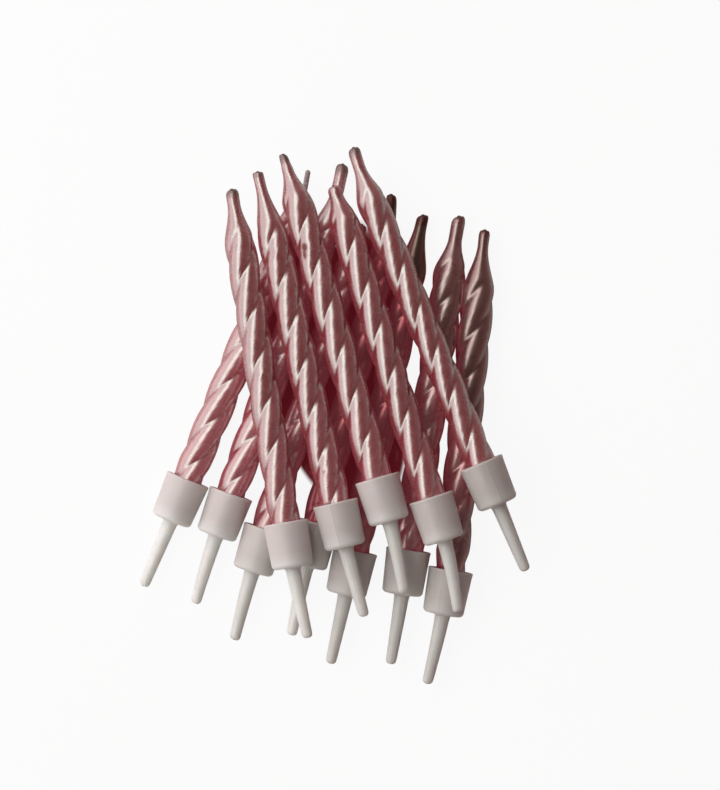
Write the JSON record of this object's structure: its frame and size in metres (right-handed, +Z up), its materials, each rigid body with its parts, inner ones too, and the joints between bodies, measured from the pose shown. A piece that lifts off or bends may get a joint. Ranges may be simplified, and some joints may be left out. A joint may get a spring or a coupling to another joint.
{
  "type": "spiral birthday candle set",
  "caption": "Set of loose twisted birthday candles with cotton wicks, each pushed into a plastic cup holder with a spike for the cake, lying crossed in a loose heap.",
  "frame": {"origin": "on the table, under the middle of the heap's box", "axes": "+Z up from the table, +Y along the heap from the holders' spikes to the candles' tips, +X to the right as seen from above"},
  "size_m": [0.0672, 0.0928, 0.0143],
  "materials": {
    "pearl_wax": "pearl pink lacquer over paraffin wax",
    "cotton_wick": "braided cotton, stiffened with wax",
    "holder_plastic": "milky translucent moulded polyethylene"
  },
  "bodies": {
    "holder_01": {"candle_01_holder": "holder_plastic"},
    "candle_01": {"candle_01_wax": "pearl_wax", "candle_01_wick": "cotton_wick"},
    "holder_02": {"candle_02_holder": "holder_plastic"},
    "candle_02": {"candle_02_wax": "pearl_wax", "candle_02_wick": "cotton_wick"},
    "holder_03": {"candle_03_holder": "holder_plastic"},
    "candle_03": {"candle_03_wax": "pearl_wax", "candle_03_wick": "cotton_wick"},
    "holder_04": {"candle_04_holder": "holder_plastic"},
    "candle_04": {"candle_04_wax": "pearl_wax", "candle_04_wick": "cotton_wick"},
    "holder_05": {"candle_05_holder": "holder_plastic"},
    "candle_05": {"candle_05_wax": "pearl_wax", "candle_05_wick": "cotton_wick"},
    "holder_06": {"candle_06_holder": "holder_plastic"},
    "candle_06": {"candle_06_wax": "pearl_wax", "candle_06_wick": "cotton_wick"},
    "holder_07": {"candle_07_holder": "holder_plastic"},
    "candle_07": {"candle_07_wax": "pearl_wax", "candle_07_wick": "cotton_wick"},
    "holder_08": {"candle_08_holder": "holder_plastic"},
    "candle_08": {"candle_08_wax": "pearl_wax", "candle_08_wick": "cotton_wick"},
    "holder_09": {"candle_09_holder": "holder_plastic"},
    "candle_09": {"candle_09_wax": "pearl_wax", "candle_09_wick": "cotton_wick"},
    "holder_10": {"candle_10_holder": "holder_plastic"},
    "candle_10": {"candle_10_wax": "pearl_wax", "candle_10_wick": "cotton_wick"},
    "holder_11": {"candle_11_holder": "holder_plastic"},
    "candle_11": {"candle_11_wax": "pearl_wax", "candle_11_wick": "cotton_wick"},
    "holder_12": {"candle_12_holder": "holder_plastic"},
    "candle_12": {"candle_12_wax": "pearl_wax", "candle_12_wick": "cotton_wick"}
  },
  "joints": [
    {"name": "lift_01", "type": "slide", "parent": "holder_09", "child": "holder_01", "axis": [0, 0, 1], "range_m": [0, 0.03]},
    {"name": "pull_01", "type": "slide", "parent": "holder_01", "child": "candle_01", "axis": [-0.1631, 0.9853, -0.0499], "range_m": [0, 0.007]},
    {"name": "lift_02", "type": "slide", "parent": "holder_09", "child": "holder_02", "axis": [0, 0, 1], "range_m": [0, 0.03]},
    {"name": "pull_02", "type": "slide", "parent": "holder_02", "child": "candle_02", "axis": [-0.2296, 0.9725, -0.0382], "range_m": [0, 0.007]},
    {"name": "lift_03", "type": "slide", "parent": "holder_09", "child": "holder_03", "axis": [0, 0, 1], "range_m": [0, 0.03]},
    {"name": "pull_03", "type": "slide", "parent": "holder_03", "child": "candle_03", "axis": [-0.2753, 0.9605, -0.0405], "range_m": [0, 0.007]},
    {"name": "lift_04", "type": "slide", "parent": "holder_09", "child": "holder_04", "axis": [0, 0, 1], "range_m": [0, 0.03]},
    {"name": "pull_04", "type": "slide", "parent": "holder_04", "child": "candle_04", "axis": [-0.2843, 0.9582, -0.033], "range_m": [0, 0.007]},
    {"name": "lift_05", "type": "slide", "parent": "holder_09", "child": "holder_05", "axis": [0, 0, 1], "range_m": [0, 0.03]},
    {"name": "pull_05", "type": "slide", "parent": "holder_05", "child": "candle_05", "axis": [-0.3702, 0.9286, -0.0246], "range_m": [0, 0.007]},
    {"name": "draw_06", "type": "slide", "parent": "holder_09", "child": "holder_06", "axis": [-0.3827, -0.9239, 0], "range_m": [0, 0.09]},
    {"name": "pull_06", "type": "slide", "parent": "holder_06", "child": "candle_06", "axis": [0.3826, 0.9237, -0.0217], "range_m": [0, 0.007]},
    {"name": "draw_07", "type": "slide", "parent": "holder_09", "child": "holder_07", "axis": [-0.3383, -0.941, 0], "range_m": [0, 0.09]},
    {"name": "pull_07", "type": "slide", "parent": "holder_07", "child": "candle_07", "axis": [0.3383, 0.9408, -0.0217], "range_m": [0, 0.007]},
    {"name": "draw_08", "type": "slide", "parent": "holder_09", "child": "holder_08", "axis": [-0.3008, -0.9537, 0], "range_m": [0, 0.09]},
    {"name": "pull_08", "type": "slide", "parent": "holder_08", "child": "candle_08", "axis": [0.3007, 0.9535, -0.0217], "range_m": [0, 0.007]},
    {"name": "pull_09", "type": "slide", "parent": "holder_09", "child": "candle_09", "axis": [0.2475, 0.9687, -0.0217], "range_m": [0, 0.007]},
    {"name": "draw_10", "type": "slide", "parent": "holder_09", "child": "holder_10", "axis": [-0.2035, -0.9791, 0], "range_m": [0, 0.09]},
    {"name": "pull_10", "type": "slide", "parent": "holder_10", "child": "candle_10", "axis": [0.2035, 0.9788, -0.0217], "range_m": [0, 0.007]},
    {"name": "draw_11", "type": "slide", "parent": "holder_09", "child": "holder_11", "axis": [-0.1527, -0.9883, 0], "range_m": [0, 0.09]},
    {"name": "pull_11", "type": "slide", "parent": "holder_11", "child": "candle_11", "axis": [0.1527, 0.988, -0.0217], "range_m": [0, 0.007]},
    {"name": "draw_12", "type": "slide", "parent": "holder_09", "child": "holder_12", "axis": [-0.1079, -0.9942, 0], "range_m": [0, 0.09]},
    {"name": "pull_12", "type": "slide", "parent": "holder_12", "child": "candle_12", "axis": [0.1079, 0.9939, -0.0217], "range_m": [0, 0.007]}
  ]
}
